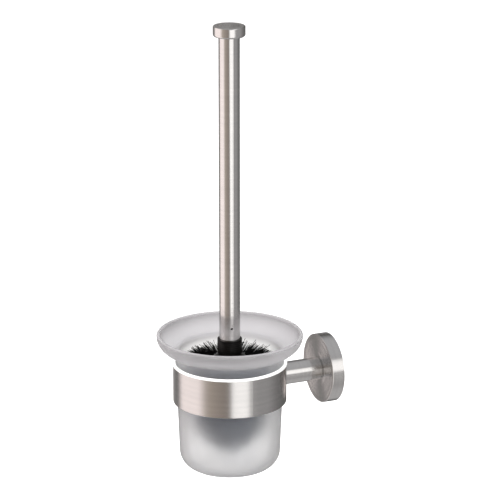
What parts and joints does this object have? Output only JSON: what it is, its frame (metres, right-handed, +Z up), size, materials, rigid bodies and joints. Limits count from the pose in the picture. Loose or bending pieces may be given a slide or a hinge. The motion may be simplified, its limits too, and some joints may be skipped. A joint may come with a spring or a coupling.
{
  "type": "toilet brush holder",
  "caption": "Wall-mounted toilet brush holder: steel band on a round arm and rosette, frosted glass cup with a flared mouth, and a long steel-handled brush standing in it.",
  "frame": {"origin": "middle of the wall plate's back face, on the wall and on the arm's axis", "axes": "+Z up along the brush's handle, +Y into the wall along the arm, so the cup stands out along -Y; +X to the right for someone facing the wall"},
  "size_m": [0.1268, 0.1595, 0.3928],
  "materials": {
    "brushed_steel": "satin",
    "screw_steel": "satin",
    "cast_plate": "matte",
    "frosted_glass": "matte",
    "white_plastic": "satin",
    "insert_plastic": "matte",
    "black_plastic": "satin",
    "black_bristle": "matte"
  },
  "bodies": {
    "holder": {"wall_plate": "cast_plate", "rosette": "brushed_steel", "rosette_set_screw": "screw_steel", "arm": "brushed_steel", "rosette_screw": "screw_steel", "rosette_lock_washer": "screw_steel", "support_ring": "brushed_steel", "ring_screw": "screw_steel", "ring_liner": "white_plastic"},
    "cup": {"glass_cup": "frosted_glass"},
    "brush": {"handle_tube": "brushed_steel", "handle_cap": "brushed_steel", "handle_insert": "insert_plastic", "insert_pin": "screw_steel", "brush_core": "black_plastic", "bristles": "black_bristle"}
  },
  "joints": [
    {"name": "cup_lift", "type": "slide", "parent": "holder", "child": "cup", "axis": [0, 0, 1], "range_m": [0, 0.11]},
    {"name": "brush_lift", "type": "slide", "parent": "cup", "child": "brush", "axis": [0, 0, 1], "range_m": [0, 0.13]}
  ]
}
